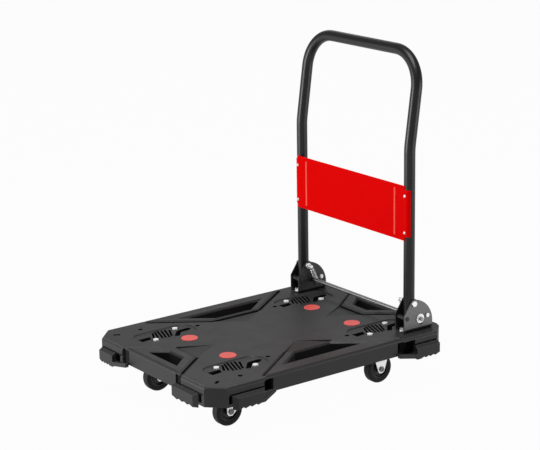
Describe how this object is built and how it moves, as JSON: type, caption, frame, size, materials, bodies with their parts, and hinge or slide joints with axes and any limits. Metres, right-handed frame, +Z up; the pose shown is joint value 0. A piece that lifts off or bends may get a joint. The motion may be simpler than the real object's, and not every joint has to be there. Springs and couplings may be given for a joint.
{
  "type": "folding platform trolley",
  "caption": "Low platform trolley with a moulded plastic deck on casters and a tube handle that folds flat after its sprung lock bar is pressed down",
  "frame": {"origin": "On the floor under the middle of the deck", "axes": "+X towards the end that carries the handle, +Y to the left when facing that way, +Z up"},
  "size_m": [0.738, 0.542, 0.851],
  "materials": {
    "deck_plastic": "charcoal moulded plastic with a faint sheen",
    "red_plastic": "red moulded plastic",
    "bracket_steel": "dull zinc-plated sheet steel",
    "black_paint": "satin black powder coat",
    "red_paint": "glossy red paint",
    "black_plastic": "black plastic",
    "tyre_rubber": "dark grey rubber tread",
    "hub_plastic": "black moulded hub",
    "spring_steel": "zinc-plated spring wire",
    "zinc_steel": "bright zinc-plated steel"
  },
  "bodies": {
    "deck": {"deck_moulding": "deck_plastic", "grip_discs": "red_plastic", "bumpers_front_left": "deck_plastic", "bumpers_front_right": "deck_plastic", "bumpers_rear_left": "deck_plastic", "bumpers_rear_right": "deck_plastic", "caster_bolts": "zinc_steel", "caster_nuts": "zinc_steel", "caster_screws": "zinc_steel", "caster_plate_front_left": "zinc_steel", "swivel_ring_front_left": "zinc_steel", "king_pin_front_left": "zinc_steel", "fork_rear_left": "zinc_steel", "axle_sleeve_rear_left": "zinc_steel", "axle_bolt_rear_left": "zinc_steel", "axle_nut_rear_left": "zinc_steel", "bracket_left": "bracket_steel", "lock_spring_left": "spring_steel", "caster_plate_front_right": "zinc_steel", "swivel_ring_front_right": "zinc_steel", "king_pin_front_right": "zinc_steel", "fork_rear_right": "zinc_steel", "axle_sleeve_rear_right": "zinc_steel", "axle_bolt_rear_right": "zinc_steel", "axle_nut_rear_right": "zinc_steel", "bracket_right": "bracket_steel", "lock_spring_right": "spring_steel", "base_bolts": "zinc_steel", "base_nuts": "zinc_steel", "pivot_bolts": "zinc_steel", "pivot_nuts": "zinc_steel", "stop_pins": "zinc_steel", "stop_sleeves": "black_plastic", "spacer_bolts": "zinc_steel", "spacer_tubes": "zinc_steel", "spacer_nuts": "zinc_steel"},
    "handle": {"handle_tube": "black_paint", "handle_panel": "red_paint", "panel_rivets": "zinc_steel", "pivot_bushes": "black_plastic", "tube_plugs": "black_plastic"},
    "lock_bar": {"lock_bar": "zinc_steel", "lock_washers": "zinc_steel", "lock_clips": "zinc_steel"},
    "front_left_swivel": {"fork_front_left": "zinc_steel", "axle_sleeve_front_left": "zinc_steel", "axle_bolt_front_left": "zinc_steel", "axle_nut_front_left": "zinc_steel"},
    "front_right_swivel": {"fork_front_right": "zinc_steel", "axle_sleeve_front_right": "zinc_steel", "axle_bolt_front_right": "zinc_steel", "axle_nut_front_right": "zinc_steel"},
    "front_left_wheel": {"tyre_front_left": "tyre_rubber", "hub_front_left": "hub_plastic"},
    "front_right_wheel": {"tyre_front_right": "tyre_rubber", "hub_front_right": "hub_plastic"},
    "rear_left_wheel": {"tyre_rear_left": "tyre_rubber", "hub_rear_left": "hub_plastic"},
    "rear_right_wheel": {"tyre_rear_right": "tyre_rubber", "hub_rear_right": "hub_plastic"}
  },
  "joints": [
    {"name": "handle_fold", "type": "hinge", "parent": "deck", "child": "handle", "pos_m": [0.267, 0, 0.216], "axis": [0, -1, 0], "range_deg": [0, 90]},
    {"name": "lock_bar_press", "type": "slide", "parent": "deck", "child": "lock_bar", "axis": [0.2823, 0, -0.9593], "range_m": [0, 0.012], "stiffness_N_per_m": 1500, "springref_m": -0.01, "deforming": ["lock_spring_left", "lock_spring_right"]},
    {"name": "front_left_caster_swivel", "type": "hinge", "parent": "deck", "child": "front_left_swivel", "pos_m": [-0.218, 0.151, 0.09], "axis": [0, 0, 1], "continuous": true},
    {"name": "front_right_caster_swivel", "type": "hinge", "parent": "deck", "child": "front_right_swivel", "pos_m": [-0.218, -0.151, 0.09], "axis": [0, 0, 1], "continuous": true},
    {"name": "front_left_wheel_spin", "type": "hinge", "parent": "front_left_swivel", "child": "front_left_wheel", "pos_m": [-0.246, 0.151, 0.0375], "axis": [0, 1, 0], "continuous": true},
    {"name": "front_right_wheel_spin", "type": "hinge", "parent": "front_right_swivel", "child": "front_right_wheel", "pos_m": [-0.246, -0.151, 0.0375], "axis": [0, 1, 0], "continuous": true},
    {"name": "rear_left_wheel_spin", "type": "hinge", "parent": "deck", "child": "rear_left_wheel", "pos_m": [0.218, 0.151, 0.0375], "axis": [0, 1, 0], "continuous": true},
    {"name": "rear_right_wheel_spin", "type": "hinge", "parent": "deck", "child": "rear_right_wheel", "pos_m": [0.218, -0.151, 0.0375], "axis": [0, 1, 0], "continuous": true}
  ]
}
